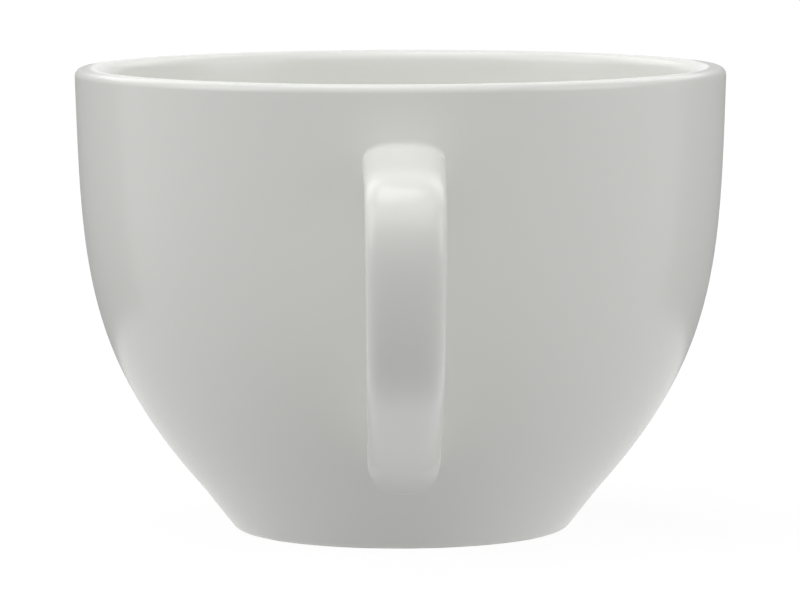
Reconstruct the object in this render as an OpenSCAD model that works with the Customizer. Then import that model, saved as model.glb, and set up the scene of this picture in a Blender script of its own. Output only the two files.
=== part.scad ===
// Cappuccino cup: a thick porcelain bowl on a foot ring, with a strap handle joined to its wall.
// Millimetres. The origin is on the cup's axis at the table, +Z is up, and the handle points to -Y.

/* [Bowl] */
// Outside diameter of the lip
rim_d = 96; // [84:0.5:110]
// Height of the cup from the table to the lip
cup_h = 68.4; // [58:0.2:84]
// Thickness of the wall at the lip
wall_t = 4; // [3:0.1:5]
// Thickness of the wall at the foot
base_wall_t = 5; // [3.6:0.1:6.5]
// Rounding of the lip's outer edge
lip_round = 1.2; // [0.6:0.1:2]
// Rounding of the lip's inner edge
lip_inner_round = 1.7; // [0.6:0.1:2.2]
// Lean of the wall at the lip, in degrees from upright
lip_lean = 1.9; // [0:0.1:5]
// Lean of the wall where it leaves the foot, in degrees from upright
base_lean = 41.7; // [34:0.1:48]
// Length along which the side's curve is drawn by its lean at the lip
lip_pull = 26.7; // [20:0.1:32]
// Length along which the side's curve is drawn by its lean at the foot
base_pull = 26.7; // [20:0.1:32]
// Thickness of the floor
floor_t = 4.8; // [3.5:0.1:7]
// Rounding between the floor and the inside of the wall
floor_round = 10; // [6:0.5:14]

/* [Foot] */
// Outside diameter of the foot at the table, before its edge is rounded
foot_d = 49; // [44:0.5:56]
// Width of the foot ring at the table, before its edges are rounded
foot_ring_w = 4.8; // [4:0.1:8]
// Depth of the hollow under the cup
hollow_h = 3.2; // [2.2:0.1:5]
// Height of the neck, where the foot's side turns into the bowl
neck_z = 6.3; // [5.4:0.1:9]
// Lean of the foot's outer side, in degrees from upright
foot_lean = 38; // [20:0.5:41]
// Lean of the hollow's side, in degrees from upright
hollow_lean = 14; // [5:0.5:25]
// Rounding of the foot's outer standing edge
foot_round = 1.9; // [0.8:0.1:2.4]
// Rounding of the foot's inner standing edge
hollow_round = 0.8; // [0.4:0.1:1.2]

/* [Handle] */
// Reach of the handle's outer face beyond the lip
handle_reach = 25; // [20:0.5:34]
// Distance of the strap's middle below the lip, where it leaves the wall
handle_drop = 11.1; // [8:0.1:14]
// Height of the strap's middle where it comes back to the wall
handle_tail_z = 15.5; // [12:0.1:19]
// Width of the strap at its upper root
strap_top_w = 11.5; // [10:0.1:14]
// Width of the strap at its lower root
strap_tail_w = 10.2; // [8:0.1:12]
// Thickness of the strap
strap_t = 5.2; // [4:0.1:6.5]
// Rounding of the strap's long edges
strap_round = 1.9; // [1:0.1:2.6]
// Slope of the upper arm down from the wall, in degrees from level
top_slope = 8.5; // [2:0.5:16]
// Radius of the upper bend, along the strap's middle
upper_bend_r = 7.4; // [5:0.1:12]
// Lean of the front towards the cup at its lower end, in degrees from upright
front_lean = 22; // [8:0.5:30]
// Radius of the lower bend, along the strap's middle
lower_bend_r = 14; // [6:0.1:20]
// Slope of the lower arm, in degrees from level
tail_slope = 27; // [15:0.5:34]

/* [Handle roots and slip] */
// How far from the wall the strap starts to spread
spread_h = 3; // [2:0.1:5]
// How far a root would spread sideways if it ran out level with the wall
spread_w = 0.8; // [0.5:0.1:4]
// How far a root would spread up and down if it ran out level with the wall
spread_z = 1.8; // [0.5:0.1:5]
// Thickness of the slip in the joints
slip_t = 0.5; // [0.3:0.1:0.8]

/* [Hidden] */
$fn = 128;
glaze_colour = [0.86, 0.86, 0.83];
slip_colour = [0.8, 0.79, 0.75];

// Smoothness: steps along the side's curve, a rounded edge, a strap corner, a spread, an arm and the front
side_steps = 40;
round_steps = 8;
corner_steps = 4;
spread_steps = 6;
arm_steps = 8;
front_steps = 5;
// Angle of one step round a bend, and halvings in a search
bend_step_angle = 5;
solve_steps = 30;

// Largest share of half a thickness that the rounding of one edge takes up
edge_share = 0.9;

rim_r = rim_d / 2;
foot_r = foot_d / 2;
hollow_r = foot_r - foot_ring_w;
floor_z = hollow_h + floor_t;
handle_top_z = cup_h - handle_drop;
lip_edge = min(lip_round, edge_share * wall_t / 2);
lip_inner_edge = min(lip_inner_round, edge_share * wall_t / 2);
strap_edge = min(strap_round, edge_share * strap_t / 2);

// Points are [distance from the axis, height]

function unit(v) = v / norm(v);

// Points on an arc, from one angle to another
function arc(centre, radius, from, to, steps = round_steps) = [
    for (k = [0:steps])
        let (a = from + (to - from) * k / steps)
        centre + radius * [cos(a), sin(a)]
];

// Value between lo and hi at which a rising test turns true
function solve(test, lo = 0, hi = 1, n = solve_steps) =
    let (mid = (lo + hi) / 2)
    n == 0 ? mid : test(mid) ? solve(test, lo, mid, n - 1) : solve(test, mid, hi, n - 1);

// Outer side of the foot, which widens upwards, and side of the hollow, which narrows upwards
function foot_side(z) = [foot_r + z * tan(foot_lean), z];
function hollow_side(z) = [hollow_r - z * tan(hollow_lean), z];

// Outer side of the bowl: one curve from the neck to the lip, with t from 0 to 1
lip_centre = [rim_r - lip_edge, cup_h - lip_edge];
lip_inner_centre = [rim_r - wall_t + lip_inner_edge, cup_h - lip_inner_edge];
neck_end = foot_side(neck_z);
lip_end = lip_centre + lip_edge * [cos(lip_lean), -sin(lip_lean)];
neck_hold = neck_end + base_pull * [sin(base_lean), cos(base_lean)];
lip_hold = lip_end - lip_pull * [sin(lip_lean), cos(lip_lean)];

function side(t) =
    pow(1 - t, 3) * neck_end + 3 * pow(1 - t, 2) * t * neck_hold
    + 3 * (1 - t) * t * t * lip_hold + pow(t, 3) * lip_end;

function side_run(t) = unit(
    pow(1 - t, 2) * (neck_hold - neck_end) + 2 * (1 - t) * t * (lip_hold - neck_hold)
    + t * t * (lip_end - lip_hold));

// The same curve moved out from the clay by a distance
function side_out(t, out) = let (run = side_run(t)) side(t) + out * [run[1], -run[0]];

function side_at_height(z) = solve(function (t) side(t)[1] > z);

// Inner side of the bowl, or a curve further in by a distance
function inside(t, in = 0) = side_out(t, -(base_wall_t + (wall_t - base_wall_t) * t) - in);

// Rounding between the floor and the wall: where it leaves the wall, its centre and its first angle
floor_end = solve(function (t) inside(t, floor_round)[1] > floor_z + floor_round);
floor_centre = inside(floor_end, floor_round);
floor_run = side_run(floor_end);
floor_angle = atan2(-floor_run[0], floor_run[1]);

// Section of the bowl: underside, neck, outer side, lip, inner side and floor
function bowl_section() = concat(
    [[0, hollow_h], foot_side(hollow_h)],
    [for (k = [0:side_steps - 1]) side(k / side_steps)],
    arc(lip_centre, lip_edge, -lip_lean, 90),
    arc(lip_inner_centre, lip_inner_edge, 90, 180 - lip_lean),
    [for (k = [side_steps - 1:-1:1]) inside(floor_end + (1 - floor_end) * k / side_steps)],
    arc(floor_centre, floor_round, floor_angle, -90),
    [[0, floor_z]]
);

module bowl() {
    color(glaze_colour)
        rotate_extrude()
            polygon(bowl_section());
}

// Everything inside the outer sides of the bowl and the foot, moved out by a distance
module cup_form(out) {
    foot_normal = [cos(foot_lean), -sin(foot_lean)];
    neck_mitre = unit(foot_normal + [cos(base_lean), -sin(base_lean)]) / cos((base_lean - foot_lean) / 2);
    points = concat(
        [foot_side(0) + out * foot_normal, neck_end + out * neck_mitre],
        [for (k = [1:side_steps]) side_out(k / side_steps, out)]
    );
    rotate_extrude()
        polygon(concat([[0, points[0][1]]], points, [[0, points[len(points) - 1][1]]]));
}

// Distance from a corner at the table to the centre of its rounding, for a side that overhangs by a lean
function edge_reach(radius, lean) = radius * tan((90 - lean) / 2);

foot_edge = [foot_r - edge_reach(foot_round, foot_lean), foot_round];
hollow_edge = [hollow_r + edge_reach(hollow_round, hollow_lean), hollow_round];

function foot_section(top) = concat(
    arc(hollow_edge, hollow_round, 180 + hollow_lean, 270),
    arc(foot_edge, foot_round, -90, -foot_lean),
    [foot_side(top), hollow_side(top)]
);

module foot_ring() {
    color(glaze_colour)
        rotate_extrude()
            polygon(foot_section(hollow_h - slip_t));
}

module foot_slip() {
    low = hollow_h - slip_t;
    color(slip_colour)
        rotate_extrude()
            polygon([hollow_side(low), foot_side(low), foot_side(hollow_h), hollow_side(hollow_h)]);
}

// Middle line of the strap, in the plane of the handle: down along the upper arm, round the upper bend,
// down the front, round the lower bend and back along the lower arm to the wall
strap_out = rim_r + handle_reach - strap_t / 2;
top_t = side_at_height(handle_top_z);
tail_t = side_at_height(handle_tail_z);
top_root = side(top_t);
tail_root = side(tail_t);
upper_turn = 90 - top_slope;
lower_turn = 90 - tail_slope - front_lean;
top_way = [cos(top_slope), -sin(top_slope)];
tail_way = [cos(tail_slope), sin(tail_slope)];

// Turn of a section from square across the strap to level with the wall
top_turn = top_slope - atan2(side_run(top_t)[0], side_run(top_t)[1]);
tail_turn = -tail_slope - atan2(side_run(tail_t)[0], side_run(tail_t)[1]);

// Distance along the strap from a root's wall to where its spread starts
top_spread_run = spread_h / cos(top_turn);
tail_spread_run = spread_h / cos(tail_turn);

top_run = (strap_out - top_root[0] - upper_bend_r * (1 - sin(top_slope))) / cos(top_slope);
front_top = [strap_out, top_root[1] - top_run * sin(top_slope) - upper_bend_r * cos(top_slope)];

// Room behind and below the front's upper end, [in, down], less what the lower bend takes.
// The front, at its own radius, and the lower arm, at its own length, take up the rest.
lower_bend_span = lower_bend_r * [cos(front_lean) - sin(tail_slope), cos(tail_slope) - sin(front_lean)];
room = front_top - tail_root - lower_bend_span;
front_span = [1 - cos(front_lean), sin(front_lean)];
function cross_flat(a, b) = a[0] * b[1] - a[1] * b[0];
front_r = cross_flat(room, tail_way) / cross_flat(front_span, tail_way);
tail_run = cross_flat(front_span, room) / cross_flat(front_span, tail_way);

function arc_run(radius, angle) = radius * angle * PI / 180;

upper_bend_start = top_run;
upper_bend_end = upper_bend_start + arc_run(upper_bend_r, upper_turn);
front_end = upper_bend_end + arc_run(front_r, front_lean);
lower_bend_end = front_end + arc_run(lower_bend_r, lower_turn);
strap_run = lower_bend_end + tail_run;

upper_bend_centre = front_top - [upper_bend_r, 0];
front_centre = front_top - [front_r, 0];
lower_bend_centre = front_centre + (front_r - lower_bend_r) * [cos(front_lean), -sin(front_lean)];

// Place and heading of the middle line at a distance along it: [point, heading]
function strap_line(s) =
    s < upper_bend_start ? [top_root + s * top_way, -top_slope]
    : s < upper_bend_end ? bend_line(upper_bend_centre, upper_bend_r, s - upper_bend_start, -top_slope)
    : s < front_end ? bend_line(front_centre, front_r, s - upper_bend_end, -90)
    : s < lower_bend_end ? bend_line(lower_bend_centre, lower_bend_r, s - front_end, -90 - front_lean)
    : [tail_root + (strap_run - s) * tail_way, tail_slope - 180];

function bend_line(centre, radius, run, heading) =
    let (h = heading - run / radius * 180 / PI)
    [centre + radius * [-sin(h), cos(h)], h];

// How much of its full spread a root has at a distance from the wall, as a quarter of an ellipse
function spread(height) =
    let (reach = 1 - max(height, slip_t) / spread_h)
    reach > 0 ? 1 - sqrt(1 - reach * reach) : 0;

// Section of the strap: a rectangle with rounded corners, as [across, through] points
function strap_section(half_w, half_t) = [
    for (corner = [0:3])
        let (sign_w = corner == 0 || corner == 3 ? 1 : -1)
        let (sign_t = corner < 2 ? 1 : -1)
        let (centre = [sign_w * (half_w - strap_edge), sign_t * (half_t - strap_edge)])
        each arc(centre, strap_edge, 90 * corner, 90 * corner + 90, corner_steps)
];

// Ring of points round the strap, turned by an angle and spread by a share of the full spread
function strap_ring(s, turn, share) =
    let (place = strap_line(s))
    let (axis = place[1] + turn)
    let (along = min(1, max(0, s / strap_run)))
    let (half_w = (strap_top_w + (strap_tail_w - strap_top_w) * along) / 2 + spread_w * share)
    let (half_t = strap_t / 2 / cos(turn) + spread_z * share)
    [for (p = strap_section(half_w, half_t))
        let (point = place[0] + p[1] * [-sin(axis), cos(axis)])
        [p[0], -point[0], point[1]]];

// Rings of a root, from inside the wall to the end of its spread; distances are from the wall
function root_heights() = concat(
    [-wall_t / 2, slip_t],
    [for (k = [1:spread_steps])
        let (start = acos(1 - slip_t / spread_h))
        let (a = start * (1 - k / spread_steps) + 90 * k / spread_steps)
        spread_h * (1 - cos(a))]
);

top_rings = [for (h = root_heights()) strap_ring(h / cos(top_turn), top_turn, spread(h))];

tail_rings = [for (h = root_heights())
    strap_ring(strap_run - h / cos(tail_turn), tail_turn, spread(h))];

// Rings of an arm and of a curved stretch; an arm's turn evenly from level with the wall to square
function arm_rings(root_s, bend_s, turn) = [
    for (k = [1:arm_steps - 1])
        let (share = k / arm_steps)
        strap_ring(root_s + (bend_s - root_s) * share, atan(tan(turn) * (1 - share)), 0)
];

function curve_rings(from_s, to_s, turn) =
    let (steps = ceil(turn / bend_step_angle))
    [for (k = [0:steps]) strap_ring(from_s + (to_s - from_s) * k / steps, 0, 0)];

function reversed(list) = [for (k = [len(list) - 1:-1:0]) list[k]];

middle_rings = concat(
    arm_rings(top_spread_run, upper_bend_start, top_turn),
    curve_rings(upper_bend_start, upper_bend_end, upper_turn),
    [for (k = [1:front_steps - 1])
        let (share = k / front_steps)
        strap_ring(upper_bend_end + (front_end - upper_bend_end) * share, 0, 0)],
    curve_rings(front_end, lower_bend_end, lower_turn),
    reversed(arm_rings(strap_run - tail_spread_run, lower_bend_end, tail_turn))
);

// Closed skin over a row of rings
module skin(rings) {
    count = len(rings[0]);
    last = len(rings) - 1;
    sides = [
        for (i = [0:last - 1], j = [0:count - 1])
            let (a = i * count + j)
            let (b = i * count + (j + 1) % count)
            each [[a, b, a + count], [b, b + count, a + count]]
    ];
    first_cap = [[for (j = [count - 1:-1:0]) j]];
    last_cap = [[for (j = [0:count - 1]) last * count + j]];
    polyhedron([for (ring = rings) each ring], concat(sides, first_cap, last_cap));
}

module handle() {
    color(glaze_colour)
        difference() {
            skin(concat(top_rings, middle_rings, reversed(tail_rings)));
            cup_form(slip_t);
        }
}

// Slip between the wall and one root of the handle
module slip_pad(rings) {
    color(slip_colour)
        intersection() {
            skin(rings);
            difference() {
                cup_form(slip_t);
                cup_form(0);
            }
        }
}

module upper_handle_slip() {
    slip_pad(top_rings);
}

module lower_handle_slip() {
    slip_pad(reversed(tail_rings));
}

bowl();
foot_ring();
foot_slip();
handle();
upper_handle_slip();
lower_handle_slip();
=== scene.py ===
import math

import bpy
import numpy as np
from mathutils import Matrix, Vector


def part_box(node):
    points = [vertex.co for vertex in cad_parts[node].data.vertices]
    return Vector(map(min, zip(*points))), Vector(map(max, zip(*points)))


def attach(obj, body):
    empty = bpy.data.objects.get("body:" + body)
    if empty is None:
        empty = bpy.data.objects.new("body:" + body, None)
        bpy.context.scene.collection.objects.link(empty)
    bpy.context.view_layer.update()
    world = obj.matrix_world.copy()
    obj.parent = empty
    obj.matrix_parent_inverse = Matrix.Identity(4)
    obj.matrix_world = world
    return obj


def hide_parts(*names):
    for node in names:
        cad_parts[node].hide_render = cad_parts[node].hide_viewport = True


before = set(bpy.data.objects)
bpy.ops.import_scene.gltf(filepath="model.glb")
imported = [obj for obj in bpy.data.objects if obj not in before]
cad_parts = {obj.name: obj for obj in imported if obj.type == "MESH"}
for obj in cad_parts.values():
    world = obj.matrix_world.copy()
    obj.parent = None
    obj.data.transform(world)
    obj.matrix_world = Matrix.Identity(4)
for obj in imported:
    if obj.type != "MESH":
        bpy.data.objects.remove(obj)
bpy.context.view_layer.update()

# A white porcelain cappuccino cup: each piece is a smooth mesh that stands for one solid of the frame.
# Sizes are in millimetres until a mesh is made; the handle points to -Y and the cup stands on Z = 0.
MM = 0.001

# Sizes that the frame gives
bowl_low, bowl_high = (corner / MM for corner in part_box("bowl"))
RIM_R = bowl_high.x
CUP_H = bowl_high.z
HOLLOW_H = bowl_low.z
FOOT_SEAM_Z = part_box("foot_slip")[0].z / MM
SLIP_T = HOLLOW_H - FOOT_SEAM_Z
HANDLE_OUT = -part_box("handle")[0].y / MM

# Bowl, as in the part's source
WALL_T = 4.0
BASE_WALL_T = 5.0
LIP_ROUND = 1.2
LIP_INNER_ROUND = 1.7
LIP_LEAN = math.radians(1.9)
BASE_LEAN = math.radians(41.7)
SIDE_PULL = 26.7
FLOOR_T = 4.8
FLOOR_ROUND = 10.0

# Foot
FOOT_R = 24.5
FOOT_RING_W = 4.8
NECK_Z = 6.3
FOOT_LEAN = math.radians(38)
HOLLOW_LEAN = math.radians(14)
FOOT_ROUND = 1.9
HOLLOW_ROUND = 0.8
HOLLOW_COVE_R = 1.4
BARE_EDGE_Z = 0.22

# Handle: the strap's middle line, its section, and how far a root spreads on the wall
HANDLE_TOP_Z = 57.3
HANDLE_TAIL_Z = 15.5
STRAP_TOP_W = 11.5
STRAP_TAIL_W = 10.2
STRAP_T = 5.2
STRAP_SQUARENESS = 3.0
ROOT_SQUARENESS = 2.4
TOP_SLOPE = math.radians(8.5)
UPPER_BEND_R = 7.4
FRONT_LEAN = math.radians(22)
LOWER_BEND_R = 14.0
TAIL_SLOPE = math.radians(27)
BEND_EASE = 10.0
# Each root: how far it spreads to the sides, on the strap's outer face and on its inner face,
# and the height over the wall at which that starts
UPPER_ROOT = {"side": (0.08, 0.4), "outer": (0.8, 0.9), "inner": (2.0, 2.2)}
LOWER_ROOT = {"side": (0.15, 0.6), "outer": (1.0, 1.6), "inner": (2.0, 2.2)}
ROOT_H = 3.0
FEATHER_SINK = 0.03

# Fineness of the meshes
TURN_STEPS = 256
SIDE_STEPS = 96
ROUND_STEPS = 16
STRAP_STEPS = 128
SLIP_STEPS = 6
ROOT_STEPS = 12
TOP_STEPS = 16
BEND_STEPS = 36
FRONT_STEPS = 24
ARM_STEPS = 40
END_STEPS = 5
EASE_STEPS = 8
SHARP_ANGLE = math.radians(30)
ON_AXIS = 1e-6

# How far into the wall a root's rings are looked for, and how finely the wall is searched
ROOT_SEARCH = 8.0
WALL_SAMPLES = 400
WALL_ROUNDS = 3

# Glaze: linear colours, scales as features in a metre, heights and widths in metres
GLAZE_COLOUR = (0.918, 0.922, 0.890)
GLAZE_CLOUD_COLOUR = (0.911, 0.917, 0.882)
GLAZE_THIN_COLOUR = (0.925, 0.928, 0.898)
GLAZE_POOL_COLOUR = (0.89, 0.904, 0.845)
# Curves, per millimetre, from which the glaze is thin or pooled, and at which it is fully so
THIN_CURVE = (0.15, 0.7)
POOL_CURVE = (-0.08, -0.6)
THIN_SHARE = 0.6
POOL_SHARE = 0.6
GLAZE_IOR = 1.42
GLAZE_ROUGHNESS = 0.24
THIN_ROUGHNESS = 0.28
CLOUD_SCALE = 40.0
CLOUD_DETAIL = 1.0
WAVE_SCALE = 70.0
WAVE_DETAIL = 0.0
WAVE_HEIGHT = 0.00002

# The bare, ground edge of the foot
BISCUIT_COLOUR = (0.72, 0.70, 0.64)
BISCUIT_DARK_COLOUR = (0.60, 0.57, 0.51)
BISCUIT_ROUGHNESS = 0.85
GRAIN_SCALE = 3500.0
GRAIN_DETAIL = 6.0
GRAIN_HEIGHT = 0.00004
EDGE_WOBBLE_SCALE = 250.0
EDGE_WOBBLE_DETAIL = 2.0
EDGE_WOBBLE_SPAN = (0.3, 0.7)
EDGE_WOBBLE = 0.00006
BARE_FADE = 0.00008

# Floor, in metres: how it glows to the camera near the cup and far off, and how it lights the cup
FLOOR_COLOUR = (0.12, 0.12, 0.12)
FLOOR_GLOW = 0.92
FLOOR_FAR_GLOW = 1.0
FLOOR_GLOW_SPAN = (0.3, 1.2)
FLOOR_BOUNCE = 0.39
FLOOR_SPAN = 16.0

# Softboxes, in metres: a name, azimuth, elevation, width, height and brightness
SOFTBOX_DISTANCE = 1.2
SOFTBOXES = (
    ("overhead_softbox", -125, 80, 0.6, 0.6, 3.2),
    ("front_softbox", 0, 62, 1.3, 1.0, 1.07),
    ("left_softbox", -70, 30, 0.8, 1.0, 2.25),
    ("right_softbox", 70, 20, 0.8, 0.8, 2.4),
    ("left_back_softbox", -140, 40, 0.7, 0.7, 1.4),
    ("right_back_softbox", 140, 40, 0.7, 0.7, 1.0),
)

# Grey cards beside and behind the cup, which show in reflections only: a name and two azimuths
CARDS = (("left_card", -98, -157), ("right_card", 98, 157))
CARD_COLOUR = (0.46, 0.46, 0.46)
CARD_DISTANCE = 0.13
CARD_H = 0.11
CARD_STEPS = 12

# Camera, from the outline in the photograph; angles turn about the cup, lengths in millimetres
CAMERA_DISTANCE = 808.6
CAMERA_AZIMUTH = -0.55
CAMERA_ELEVATION = 5.63
CAMERA_ROLL = math.radians(-0.143)
CAMERA_AIM_X = -0.148
CAMERA_AIM_Z = 33.735
CAMERA_LENS = 245.6
CAMERA_CLIP = 10.0


def unit(v):
    return v / np.linalg.norm(v, axis=-1, keepdims=True)


def leaning(angle):
    """Unit vector [out, up] that leans out from upright by an angle."""
    return np.array([math.sin(angle), math.cos(angle)])


def arc(centre, radius, start, end, steps=ROUND_STEPS):
    """Points on an arc from one angle to another."""
    a = np.linspace(start, end, steps + 1)
    return np.asarray(centre) + radius * np.stack([np.cos(a), np.sin(a)], axis=1)


def solve(test, low, high, rounds=50):
    """Values between low and high at which a rising test turns true; arrays are solved together."""
    low, high = np.array(low, float), np.array(high, float)
    for _ in range(rounds):
        middle = (low + high) / 2
        over = test(middle)
        low, high = np.where(over, low, middle), np.where(over, middle, high)
    return (low + high) / 2


# Outlines of the bowl and the foot, as [distance from the axis, height]


def foot_side(z):
    """Outer side of the foot at a height."""
    return np.array([FOOT_R + z * math.tan(FOOT_LEAN), z])


def hollow_side(z):
    """Side of the hollow under the cup at a height."""
    return np.array([FOOT_R - FOOT_RING_W - z * math.tan(HOLLOW_LEAN), z])


lip_centre = np.array([RIM_R - LIP_ROUND, CUP_H - LIP_ROUND])
lip_inner_centre = np.array([RIM_R - WALL_T + LIP_INNER_ROUND, CUP_H - LIP_INNER_ROUND])
neck_end = foot_side(NECK_Z)
lip_end = lip_centre + LIP_ROUND * np.array([math.cos(LIP_LEAN), -math.sin(LIP_LEAN)])
neck_hold = neck_end + SIDE_PULL * leaning(BASE_LEAN)
lip_hold = lip_end - SIDE_PULL * leaning(LIP_LEAN)


def side(t):
    """Outer side of the bowl: one curve from the neck at 0 to the lip at 1."""
    t = np.asarray(t, float)[..., None]
    return ((1 - t) ** 3 * neck_end + 3 * (1 - t) ** 2 * t * neck_hold
            + 3 * (1 - t) * t ** 2 * lip_hold + t ** 3 * lip_end)


def side_step(t):
    """Which way the side runs, at a third of its speed."""
    t = np.asarray(t, float)[..., None]
    return ((1 - t) ** 2 * (neck_hold - neck_end) + 2 * (1 - t) * t * (lip_hold - neck_hold)
            + t ** 2 * (lip_end - lip_hold))


def side_run(t):
    return unit(side_step(t))


def side_speed(t):
    """Length of curve for one unit of t."""
    return 3 * np.linalg.norm(side_step(t), axis=-1)


def side_normal(t):
    """Unit vector out of the clay."""
    run = side_run(t)
    return np.stack([run[..., 1], -run[..., 0]], axis=-1)


def inside(t, further_in=0.0):
    """Inner side of the bowl, or a curve further in by a distance."""
    thickness = BASE_WALL_T + (WALL_T - BASE_WALL_T) * np.asarray(t, float) + further_in
    return side(t) - thickness[..., None] * side_normal(t)


def bowl_outline():
    """From the underside's middle up the outer side, over the lip and down to the floor's middle."""
    floor_z = HOLLOW_H + FLOOR_T
    floor_end = float(solve(lambda t: inside(t, FLOOR_ROUND)[..., 1] > floor_z + FLOOR_ROUND, 0, 1))
    floor_centre = inside(floor_end, FLOOR_ROUND)
    floor_normal = side_normal(floor_end)
    floor_angle = math.atan2(floor_normal[1], floor_normal[0])
    steps = np.linspace(0, 1, SIDE_STEPS + 1)
    underside = [[r, HOLLOW_H] for r in np.linspace(0, foot_side(HOLLOW_H)[0], ROUND_STEPS)]
    neck = [foot_side(z) for z in np.linspace(HOLLOW_H, NECK_Z, ROUND_STEPS)[1:-1]]
    return np.concatenate([
        underside,
        neck,
        side(steps[:-1]),
        arc(lip_centre, LIP_ROUND, -LIP_LEAN, math.pi / 2),
        arc(lip_inner_centre, LIP_INNER_ROUND, math.pi / 2, math.pi - LIP_LEAN),
        inside(floor_end + (1 - floor_end) * steps[-2:0:-1]),
        arc(floor_centre, FLOOR_ROUND, floor_angle, -math.pi / 2),
        [[r, floor_z] for r in np.linspace(floor_centre[0], 0, ROUND_STEPS)[1:]],
    ])


def edge_reach(radius, lean):
    """Distance along the table from a corner to the start of its rounding."""
    return radius * math.tan((math.pi / 2 - lean) / 2)


def foot_ring_outline():
    """From the hollow's side round the standing edge to the foot's outer side and its seam."""
    foot_edge = [FOOT_R - edge_reach(FOOT_ROUND, FOOT_LEAN), FOOT_ROUND]
    hollow_edge = [FOOT_R - FOOT_RING_W + edge_reach(HOLLOW_ROUND, HOLLOW_LEAN), HOLLOW_ROUND]
    sole = np.linspace(hollow_edge[0], foot_edge[0], ROUND_STEPS + 1)[1:-1]
    return np.concatenate([
        arc(hollow_edge, HOLLOW_ROUND, math.pi + HOLLOW_LEAN, 1.5 * math.pi),
        [[r, 0] for r in sole],
        arc(foot_edge, FOOT_ROUND, -math.pi / 2, -FOOT_LEAN),
        [foot_side(FOOT_SEAM_Z), hollow_side(FOOT_SEAM_Z)],
    ])


def foot_slip_outline():
    """The joint's slip: level with the foot's side outside, drawn into a cove under the bowl inside."""
    cove_from = hollow_side(FOOT_SEAM_Z)
    cove_to = np.array([cove_from[0] - HOLLOW_COVE_R, HOLLOW_H])
    cove_corner = np.array([cove_from[0], HOLLOW_H])
    t = np.linspace(0, 1, ROUND_STEPS + 1)[:, None]
    cove = (1 - t) ** 2 * cove_to + 2 * (1 - t) * t * cove_corner + t ** 2 * cove_from
    return np.concatenate([cove, [foot_side(FOOT_SEAM_Z), foot_side(HOLLOW_H)]])


# Meshes


def measure_curve(mesh):
    """Stores how much a surface curves, per millimetre: rounded edges above 0, hollows below, seams 0."""
    points = np.array([v.co for v in mesh.vertices]) / MM
    normals = np.array([v.normal for v in mesh.vertices])
    edges = np.array([e.vertices[:] for e in mesh.edges])
    seams = edges[[e.use_edge_sharp for e in mesh.edges]]
    total = np.zeros(len(points))
    count = np.zeros(len(points))
    for here, there in (edges.T, edges.T[::-1]):
        gap = points[here] - points[there]
        bend = 2 * np.sum(gap * normals[here], axis=1) / np.sum(gap * gap, axis=1)
        np.add.at(total, here, bend)
        np.add.at(count, here, 1)
    total[seams] = 0
    curve = mesh.attributes.new("glaze_curve", "FLOAT", "POINT")
    curve.data.foreach_set("value", total / count)


def make_piece(name, points, faces, node, slot, material, normals=None):
    """A smooth piece that stands for a node of the frame; its faces' corners may be given normals."""
    mesh = bpy.data.meshes.new(name)
    mesh.from_pydata((np.asarray(points) * MM).tolist(), [], faces)
    mesh.validate()
    mesh.shade_smooth()
    mesh.set_sharp_from_angle(angle=SHARP_ANGLE)
    measure_curve(mesh)
    if normals is not None:
        mesh.normals_split_custom_set(normals)
    mesh.materials.append(material)
    piece = bpy.data.objects.new(name, mesh)
    bpy.context.scene.collection.objects.link(piece)
    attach(piece, "root")
    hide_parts(node)


def turned(outline, closed):
    """Points and faces of an outline turned about the axis, going anticlockwise round the clay."""
    angles = np.linspace(0, 2 * math.pi, TURN_STEPS, endpoint=False)
    points, rings = [], []
    for r, z in outline:
        if r < ON_AXIS:
            rings.append([len(points)])
            points.append((0.0, 0.0, z))
        else:
            rings.append(list(range(len(points), len(points) + TURN_STEPS)))
            points.extend((r * math.cos(a), r * math.sin(a), z) for a in angles)
    faces = []
    count = len(rings)
    for i in range(count if closed else count - 1):
        low, high = rings[i], rings[(i + 1) % count]
        for k in range(TURN_STEPS):
            n = (k + 1) % TURN_STEPS
            if len(low) == 1:
                faces.append((low[0], high[n], high[k]))
            elif len(high) == 1:
                faces.append((low[k], low[n], high[0]))
            else:
                faces.append((low[k], low[n], high[n], high[k]))
    return points, faces


# Handle: a strap swept along its middle line, with roots that run out level with the wall

wall_samples = np.linspace(0, 1, WALL_SAMPLES)
wall_points = side(wall_samples)


def nearest_on_side(points):
    """Points as [distance from the axis, height], and where the bowl's outer side is nearest to them."""
    flat = np.stack([np.hypot(points[..., 0], points[..., 1]), points[..., 2]], axis=-1)
    gaps = np.linalg.norm(flat[..., None, :] - wall_points, axis=-1)
    t = wall_samples[gaps.argmin(axis=-1)]
    for _ in range(WALL_ROUNDS):
        step = np.sum((flat - side(t)) * side_run(t), axis=-1) / side_speed(t)
        t = np.clip(t + step, 0, 1)
    return flat, t


def wall_distance(points):
    """Distance from the bowl's outer side, which is negative inside the clay."""
    flat, t = nearest_on_side(points)
    return np.sum((flat - side(t)) * side_normal(t), axis=-1)


def at_wall_height(points, height):
    """The points moved to a height over the wall."""
    flat, t = nearest_on_side(points)
    moved = side(t) + height * side_normal(t)
    share = moved[..., 0] / flat[..., 0]
    return np.stack([points[..., 0] * share, points[..., 1] * share, moved[..., 1]], axis=-1)


def side_at_height(z):
    """Point of the bowl's outer side at a height."""
    return side(solve(lambda t: side(t)[..., 1] > z, 0, 1))


top_root = side_at_height(HANDLE_TOP_Z)
tail_root = side_at_height(HANDLE_TAIL_Z)
strap_out = HANDLE_OUT - STRAP_T / 2
top_run = (strap_out - top_root[0] - UPPER_BEND_R * (1 - math.sin(TOP_SLOPE))) / math.cos(TOP_SLOPE)
front_top_z = top_root[1] - top_run * math.sin(TOP_SLOPE) - UPPER_BEND_R * math.cos(TOP_SLOPE)
front_top = np.array([strap_out, front_top_z])

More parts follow.
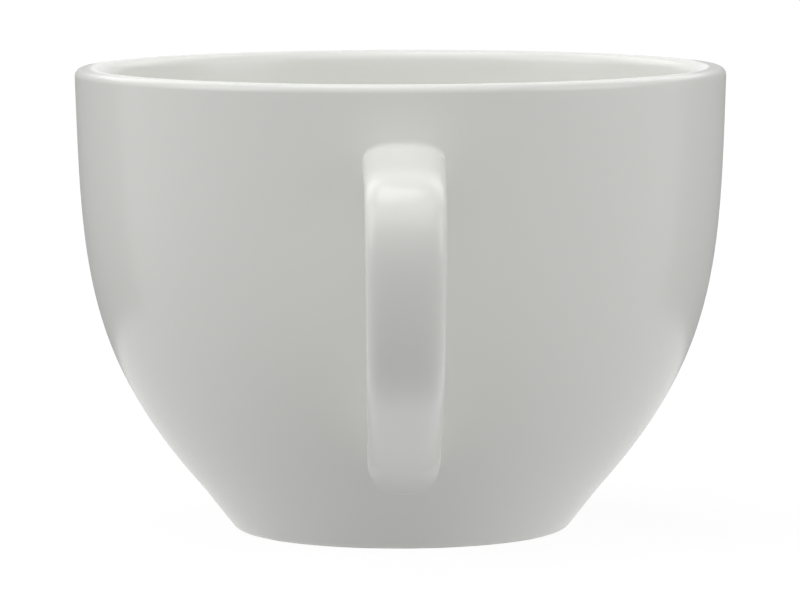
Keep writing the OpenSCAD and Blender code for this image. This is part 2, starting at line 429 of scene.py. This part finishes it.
# The front, at its own radius, and the lower arm, at its own length, take up what the lower bend leaves
lower_bend_in = LOWER_BEND_R * (math.cos(FRONT_LEAN) - math.sin(TAIL_SLOPE))
lower_bend_down = LOWER_BEND_R * (math.cos(TAIL_SLOPE) - math.sin(FRONT_LEAN))
room = front_top - tail_root - np.array([lower_bend_in, lower_bend_down])
front_span = np.array([1 - math.cos(FRONT_LEAN), math.sin(FRONT_LEAN)])
tail_way = np.array([math.cos(TAIL_SLOPE), math.sin(TAIL_SLOPE)])
front_r, tail_run = np.linalg.solve(np.stack([front_span, tail_way], axis=1), room)

upper_bend_end = top_run + UPPER_BEND_R * (math.pi / 2 - TOP_SLOPE)
front_end = upper_bend_end + front_r * FRONT_LEAN
lower_bend_end = front_end + LOWER_BEND_R * (math.pi / 2 - TAIL_SLOPE - FRONT_LEAN)
strap_run = lower_bend_end + tail_run
strap_bends = (
    (top_run, upper_bend_end, UPPER_BEND_R),
    (upper_bend_end, front_end, front_r),
    (front_end, lower_bend_end, LOWER_BEND_R),
)


def along(heading):
    """Unit vectors [out, up] along a heading."""
    return np.stack([np.cos(heading), np.sin(heading)], axis=-1)


def across(heading):
    """Unit vectors [out, up] square to a heading, on the strap's outer side."""
    return np.stack([-np.sin(heading), np.cos(heading)], axis=-1)


def strap_arcs(s):
    """Place [out, up] and heading of the handle's arms and arcs at distances along them."""
    s = np.asarray(s, float)
    heading = np.full(s.shape, -TOP_SLOPE)
    place = top_root + np.minimum(s, top_run)[..., None] * along(heading)
    for start, end, radius in strap_bends:
        turned_to = heading - np.clip(s - start, 0, end - start) / radius
        place = place + radius * (across(turned_to) - across(heading))
        heading = turned_to
    arm = np.maximum(s - lower_bend_end, 0)
    return place + arm[..., None] * along(heading), heading


def strap_line(s):
    """The strap's middle line: the arms and arcs, averaged over a length to ease into each other."""
    shifts = np.linspace(-BEND_EASE / 2, BEND_EASE / 2, EASE_STEPS + 1)
    spots = [strap_arcs(s + shift) for shift in shifts]
    places, headings = (np.mean(values, axis=0) for values in zip(*spots))
    return places, headings


ring_angles = np.linspace(0, 2 * math.pi, STRAP_STEPS, endpoint=False)


def eased(share):
    """A share from 0 to 1 that starts and stops gently."""
    share = np.clip(share, 0, 1)
    return share ** 2 * (3 - 2 * share)


def strap_section(s):
    """Section of the strap as a share of its half width and half thickness, rounder at the roots."""
    arms = eased(s / top_run) * eased((strap_run - s) / tail_run)
    power = 2 / (ROOT_SQUARENESS + (STRAP_SQUARENESS - ROOT_SQUARENESS) * arms)
    turns = np.stack([np.cos(ring_angles), np.sin(ring_angles)], axis=-1)
    return np.sign(turns) * abs(turns) ** power[..., None]


def strap_surface(s, spread=0.0):
    """Points round the strap, each at its own distance along it and moved out by its own spread."""
    place, heading = strap_line(s)
    share = np.clip(s / strap_run, 0, 1)
    half = np.stack([(STRAP_TOP_W + (STRAP_TAIL_W - STRAP_TOP_W) * share) / 2,
                     np.full_like(share, STRAP_T / 2)], axis=-1)
    sideways, through = np.moveaxis(strap_section(s) * half + spread, -1, 0)
    out, up = np.moveaxis(place + through[..., None] * across(heading), -1, 0)
    return np.stack([sideways, -out, up], axis=-1)


def root_spread(root, height):
    """How far a root has spread at a height over the wall, as quarters of ellipses."""
    half = np.array([STRAP_TOP_W / 2, STRAP_T / 2])
    edge = strap_section(np.zeros(STRAP_STEPS))
    normals = unit(np.sign(edge) * abs(edge) ** (ROOT_SQUARENESS - 1) / half)

    def grown(name):
        width, depth = root[name]
        reach = np.clip(1 - max(height, 0) / depth, 0, 1)
        return width * (1 - math.sqrt(1 - reach ** 2))

    through = np.where(normals[:, 1] > 0, grown("outer"), grown("inner"))
    return np.stack([normals[:, 0] * grown("side"), normals[:, 1] * through], axis=1)


def root_ring(root, height, near, far):
    """Ring round a root at a height over the wall, found between two distances along the strap."""
    spread = root_spread(root, height)
    sign = 1 if far > near else -1
    reach = solve(lambda q: wall_distance(strap_surface(near + sign * q, spread)) > height,
                  np.zeros(STRAP_STEPS), np.full(STRAP_STEPS, abs(far - near)))
    return near + sign * reach, spread


def root_heights(low, high, steps):
    """Heights over the wall for the rings of a root, closer together near the wall."""
    angles = [math.acos(1 - h / ROOT_H) for h in (low, high)]
    return ROOT_H * (1 - np.cos(np.linspace(*angles, steps + 1)))


def strap_rings():
    """Rings from the upper joint's outer edge to the lower one's, and which rings end the joints."""
    slip_heights = [-FEATHER_SINK, *root_heights(0, SLIP_T, SLIP_STEPS)]
    root_only = root_heights(SLIP_T, ROOT_H, ROOT_STEPS)[1:]
    heights = [*slip_heights, *root_only]
    upper = [root_ring(UPPER_ROOT, h, -ROOT_SEARCH, top_run) for h in heights]
    lower = [root_ring(LOWER_ROOT, h, strap_run + ROOT_SEARCH, lower_bend_end) for h in heights]
    even = np.ones(STRAP_STEPS)
    rows = list(upper)
    for k in range(1, TOP_STEPS + 1):
        rows.append((upper[-1][0] + (top_run * even - upper[-1][0]) * k / TOP_STEPS, 0.0))
    for (start, end, _), steps in zip(strap_bends, (BEND_STEPS, FRONT_STEPS, BEND_STEPS)):
        rows.extend((s * even, 0.0) for s in np.linspace(start, end, steps + 1)[1:])
    for k in range(1, ARM_STEPS):
        rows.append((lower_bend_end + (lower[-1][0] - lower_bend_end) * k / ARM_STEPS, 0.0))
    rows.extend(reversed(lower))
    rings = np.array([strap_surface(s, spread) for s, spread in rows])
    return rings, len(slip_heights) - 1, len(rings) - len(slip_heights)


def ring_normals(rings):
    """Outward normals of a row of closed rings."""
    around = np.roll(rings, -1, axis=1) - np.roll(rings, 1, axis=1)
    return unit(np.cross(around, np.gradient(rings, axis=0)))


def end_faces(points, ring, first, height):
    """Faces that close a ring whose points start at a number, over rings that shrink to its middle."""
    count = len(ring)
    middle = ring.mean(axis=0)
    faces = []
    outer = list(range(first, first + count))
    for share in np.linspace(1, 0, END_STEPS + 1)[1:-1]:
        inner = list(range(len(points), len(points) + count))
        points.extend(at_wall_height(middle + (ring - middle) * share, height))
        for j in range(count):
            n = (j + 1) % count
            faces.append((outer[j], outer[n], inner[n], inner[j]))
        outer = inner
    centre = len(points)
    points.extend(at_wall_height(middle[None], height))
    faces.extend((outer[j], outer[(j + 1) % count], centre) for j in range(count))
    return faces


def lofted(rings, normals, first_height, last_height):
    """Points, faces and corner normals of a closed piece of the strap, with ends level with the wall."""
    count = rings.shape[1]
    points = list(rings.reshape(-1, 3))
    faces = []
    corner_normals = []
    shown = normals.reshape(-1, 3)
    for i in range(len(rings) - 1):
        for j in range(count):
            n = (j + 1) % count
            face = (i * count + j, i * count + n, (i + 1) * count + n, (i + 1) * count + j)
            faces.append(face)
            corner_normals.extend(shown[v] for v in face)
    for ring, first, height, inward in ((rings[0], 0, first_height, True),
                                        (rings[-1], (len(rings) - 1) * count, last_height, False)):
        for face in end_faces(points, ring, first, height):
            faces.append(face[::-1] if inward else face)
            corner_normals.extend([(0, 0, 0)] * len(face))
    return points, faces, corner_normals


# Materials


def link_nodes(owner, shader="Principled BSDF"):
    """The shader node of a material or world, and short ways to add nodes and to link them."""
    owner.use_nodes = True
    tree = owner.node_tree

    def add(kind, **settings):
        node = tree.nodes.new(kind)
        for name, value in settings.items():
            if name in node.inputs:
                node.inputs[name].default_value = value
            else:
                setattr(node, name, value)
        return node

    return tree.nodes[shader], add, tree.links.new


def glaze(name, bare_edge=False):
    """White satin glaze over porcelain; a foot's standing edge is ground bare."""
    material = bpy.data.materials.new(name)
    shader, add, link = link_nodes(material)
    shader.inputs["IOR"].default_value = GLAZE_IOR
    place = add("ShaderNodeTexCoord").outputs["Object"]

    def noise(scale, detail):
        node = add("ShaderNodeTexNoise", Scale=scale, Detail=detail)
        link(place, node.inputs["Vector"])
        return node.outputs["Fac"]

    def ranged(value, low, high, to_low, to_high):
        limits = {"From Min": low, "From Max": high, "To Min": to_low, "To Max": to_high}
        node = add("ShaderNodeMapRange", **limits)
        link(value, node.inputs["Value"])
        return node.outputs["Result"]

    def mixed(share, one, other):
        node = add("ShaderNodeMix", data_type="RGBA")
        link(share, node.inputs["Factor"])
        sockets = [socket for socket in node.inputs if socket.type == "RGBA"]
        for socket, colour in zip(sockets, (one, other)):
            if isinstance(colour, tuple):
                socket.default_value = (*colour, 1)
            else:
                link(colour, socket)
        return next(socket for socket in node.outputs if socket.type == "RGBA")

    curve = add("ShaderNodeAttribute", attribute_name="glaze_curve").outputs["Fac"]
    colour = mixed(noise(CLOUD_SCALE, CLOUD_DETAIL), GLAZE_COLOUR, GLAZE_CLOUD_COLOUR)
    colour = mixed(ranged(curve, *THIN_CURVE, 0, THIN_SHARE), colour, GLAZE_THIN_COLOUR)
    colour = mixed(ranged(curve, *POOL_CURVE, 0, POOL_SHARE), colour, GLAZE_POOL_COLOUR)
    roughness = ranged(curve, *THIN_CURVE, GLAZE_ROUGHNESS, THIN_ROUGHNESS)
    wave = add("ShaderNodeBump", Strength=1.0, Distance=WAVE_HEIGHT)
    link(noise(WAVE_SCALE, WAVE_DETAIL), wave.inputs["Height"])
    normal = wave.outputs["Normal"]
    if bare_edge:
        height = add("ShaderNodeSeparateXYZ")
        link(place, height.inputs["Vector"])
        edge_noise = noise(EDGE_WOBBLE_SCALE, EDGE_WOBBLE_DETAIL)
        wobble = ranged(edge_noise, *EDGE_WOBBLE_SPAN, -EDGE_WOBBLE, EDGE_WOBBLE)
        level = add("ShaderNodeMath", operation="ADD")
        link(height.outputs["Z"], level.inputs[0])
        link(wobble, level.inputs[1])
        edge = BARE_EDGE_Z * MM
        bare = ranged(level.outputs["Value"], edge, edge - BARE_FADE, 0, 1)
        grain = noise(GRAIN_SCALE, GRAIN_DETAIL)
        colour = mixed(bare, colour, mixed(grain, BISCUIT_COLOUR, BISCUIT_DARK_COLOUR))
        rough = add("ShaderNodeMix", data_type="FLOAT")
        link(bare, rough.inputs["Factor"])
        link(roughness, rough.inputs["A"])
        rough.inputs["B"].default_value = BISCUIT_ROUGHNESS
        roughness = rough.outputs["Result"]
        grit = add("ShaderNodeBump", Distance=GRAIN_HEIGHT)
        link(bare, grit.inputs["Strength"])
        link(grain, grit.inputs["Height"])
        link(normal, grit.inputs["Normal"])
        normal = grit.outputs["Normal"]
    link(colour, shader.inputs["Base Color"])
    link(roughness, shader.inputs["Roughness"])
    link(normal, shader.inputs["Normal"])
    return material


# Stage


def towards(azimuth, elevation):
    """Unit vector from the cup; azimuth 0 is the camera's side, and 90 the cup's right."""
    a, e = math.radians(azimuth), math.radians(elevation)
    return Vector((math.sin(a) * math.cos(e), -math.cos(a) * math.cos(e), math.sin(e)))


def seen_directly(add, link):
    """1 for rays from the camera, and for those that a shiny or clear surface sends on."""
    path = add("ShaderNodeLightPath")
    seen = path.outputs["Is Camera Ray"]
    for kind in ("Is Glossy Ray", "Is Transmission Ray"):
        either = add("ShaderNodeMath", operation="MAXIMUM")
        link(seen, either.inputs[0])
        link(path.outputs[kind], either.inputs[1])
        seen = either.outputs["Value"]
    return seen


def floor_material():
    """Floor that takes the cup's shadow; the camera and reflections see it white, more so far off."""
    material = bpy.data.materials.new("pale_floor")
    shader, add, link = link_nodes(material)
    shader.inputs["Base Color"].default_value = (*FLOOR_COLOUR, 1)
    shader.inputs["Roughness"].default_value = 1.0
    shader.inputs["Specular IOR Level"].default_value = 0.0
    shader.inputs["Emission Color"].default_value = (1, 1, 1, 1)
    away = add("ShaderNodeVectorMath", operation="LENGTH")
    link(add("ShaderNodeTexCoord").outputs["Object"], away.inputs["Vector"])
    near, far = FLOOR_GLOW_SPAN
    limits = {"From Min": near, "From Max": far, "To Min": FLOOR_GLOW, "To Max": FLOOR_FAR_GLOW}
    white = add("ShaderNodeMapRange", **limits)
    link(away.outputs["Value"], white.inputs["Value"])
    glow = add("ShaderNodeMapRange", **{"To Min": FLOOR_BOUNCE})
    link(seen_directly(add, link), glow.inputs["Value"])
    link(white.outputs["Result"], glow.inputs["To Max"])
    link(glow.outputs["Result"], shader.inputs["Emission Strength"])
    clear = add("ShaderNodeBsdfTransparent")
    sides = add("ShaderNodeMixShader")
    link(add("ShaderNodeNewGeometry").outputs["Backfacing"], sides.inputs["Fac"])
    link(shader.outputs["BSDF"], sides.inputs[1])
    link(clear.outputs["BSDF"], sides.inputs[2])
    link(sides.outputs["Shader"], material.node_tree.nodes["Material Output"].inputs["Surface"])
    return material


def make_floor():
    mesh = bpy.data.meshes.new("floor")
    half = FLOOR_SPAN / 2
    corners = [(-half, -half, 0), (half, -half, 0), (half, half, 0), (-half, half, 0)]
    mesh.from_pydata(corners, [], [(0, 1, 2, 3)])
    mesh.materials.append(floor_material())
    floor = bpy.data.objects.new("floor", mesh)
    bpy.context.scene.collection.objects.link(floor)


def make_cards():
    """Curved upright cards that darken the reflections on the cup's sides as they turn away."""
    material = bpy.data.materials.new("grey_card")
    shader, _, _ = link_nodes(material)
    shader.inputs["Base Color"].default_value = (*CARD_COLOUR, 1)
    shader.inputs["Roughness"].default_value = 1.0
    shader.inputs["Specular IOR Level"].default_value = 0.0
    for name, start, end in CARDS:
        feet = [towards(a, 0) * CARD_DISTANCE for a in np.linspace(start, end, CARD_STEPS + 1)]
        points = [foot + Vector((0, 0, z)) for foot in feet for z in (0.0, CARD_H)]
        faces = [(2 * k, 2 * k + 2, 2 * k + 3, 2 * k + 1) for k in range(CARD_STEPS)]
        mesh = bpy.data.meshes.new(name)
        mesh.from_pydata(points, [], faces)
        mesh.materials.append(material)
        card = bpy.data.objects.new(name, mesh)
        card.visible_camera = False
        card.visible_diffuse = False
        card.visible_shadow = False
        bpy.context.scene.collection.objects.link(card)


def make_world():
    """White to the camera and in reflections, with no light of its own."""
    world = bpy.data.worlds.new("studio")
    bpy.context.scene.world = world
    white, add, link = link_nodes(world, "Background")
    white.inputs["Color"].default_value = (1, 1, 1, 1)
    link(seen_directly(add, link), white.inputs["Strength"])


def make_softbox(name, azimuth, elevation, width, height, brightness):
    """An even panel of light that faces the cup; a brightness of 1 is the white of the page."""
    lamp = bpy.data.lights.new(name, "AREA")
    lamp.shape = "RECTANGLE"
    lamp.size, lamp.size_y = width, height
    lamp.energy = brightness * math.pi * width * height
    softbox = bpy.data.objects.new(name, lamp)
    away = towards(azimuth, elevation)
    softbox.location = Vector((0, 0, CUP_H * MM / 2)) + away * SOFTBOX_DISTANCE
    softbox.rotation_mode = "QUATERNION"
    softbox.rotation_quaternion = away.to_track_quat("Z", "Y")
    bpy.context.scene.collection.objects.link(softbox)


def make_camera():
    camera = bpy.data.objects.new("camera", bpy.data.cameras.new("camera"))
    camera.data.lens = CAMERA_LENS
    camera.data.clip_start = CAMERA_CLIP * MM
    away = towards(CAMERA_AZIMUTH, CAMERA_ELEVATION)
    turn = away.to_track_quat("Z", "Y").to_matrix() @ Matrix.Rotation(CAMERA_ROLL, 3, "Z")
    aim = Vector((0, 0, CAMERA_AIM_Z)) * MM + turn @ Vector((CAMERA_AIM_X, 0, 0)) * MM
    camera.matrix_world = Matrix.Translation(aim + away * CAMERA_DISTANCE * MM) @ turn.to_4x4()
    bpy.context.scene.collection.objects.link(camera)
    bpy.context.scene.camera = camera


# The cup

glazed = glaze("porcelain_glaze")
foot_glazed = glaze("foot_glaze", bare_edge=True)
joint_glazed = glaze("slip_glaze")

bowl = turned(bowl_outline(), closed=False)
foot_ring = turned(foot_ring_outline(), closed=True)
foot_slip = turned(foot_slip_outline(), closed=True)
make_piece("porcelain_bowl", *bowl, "bowl", "glazed_porcelain", glazed)
make_piece("porcelain_foot_ring", *foot_ring, "foot_ring", "foot_porcelain", foot_glazed)
make_piece("foot_joint", *foot_slip, "foot_slip", "joint_slip", joint_glazed)

strap, upper_seam, lower_seam = strap_rings()
strap_normals = ring_normals(strap)


def strap_piece(first, last, first_height, last_height):
    """Points and faces of the strap between two of its rings, and the corners' normals."""
    part = slice(first, last + 1)
    return lofted(strap[part], strap_normals[part], first_height, last_height)


points, faces, normals = strap_piece(0, upper_seam, -FEATHER_SINK, SLIP_T)
make_piece("upper_handle_joint", points, faces, "upper_handle_slip", "joint_slip", joint_glazed, normals)
points, faces, normals = strap_piece(upper_seam, lower_seam, SLIP_T, SLIP_T)
make_piece("strap_handle", points, faces, "handle", "glazed_porcelain", glazed, normals)
points, faces, normals = strap_piece(lower_seam, len(strap) - 1, SLIP_T, -FEATHER_SINK)
make_piece("lower_handle_joint", points, faces, "lower_handle_slip", "joint_slip", joint_glazed, normals)

make_floor()
make_cards()
make_world()
for softbox in SOFTBOXES:
    make_softbox(*softbox)
make_camera()
bpy.context.scene.view_settings.view_transform = "Standard"
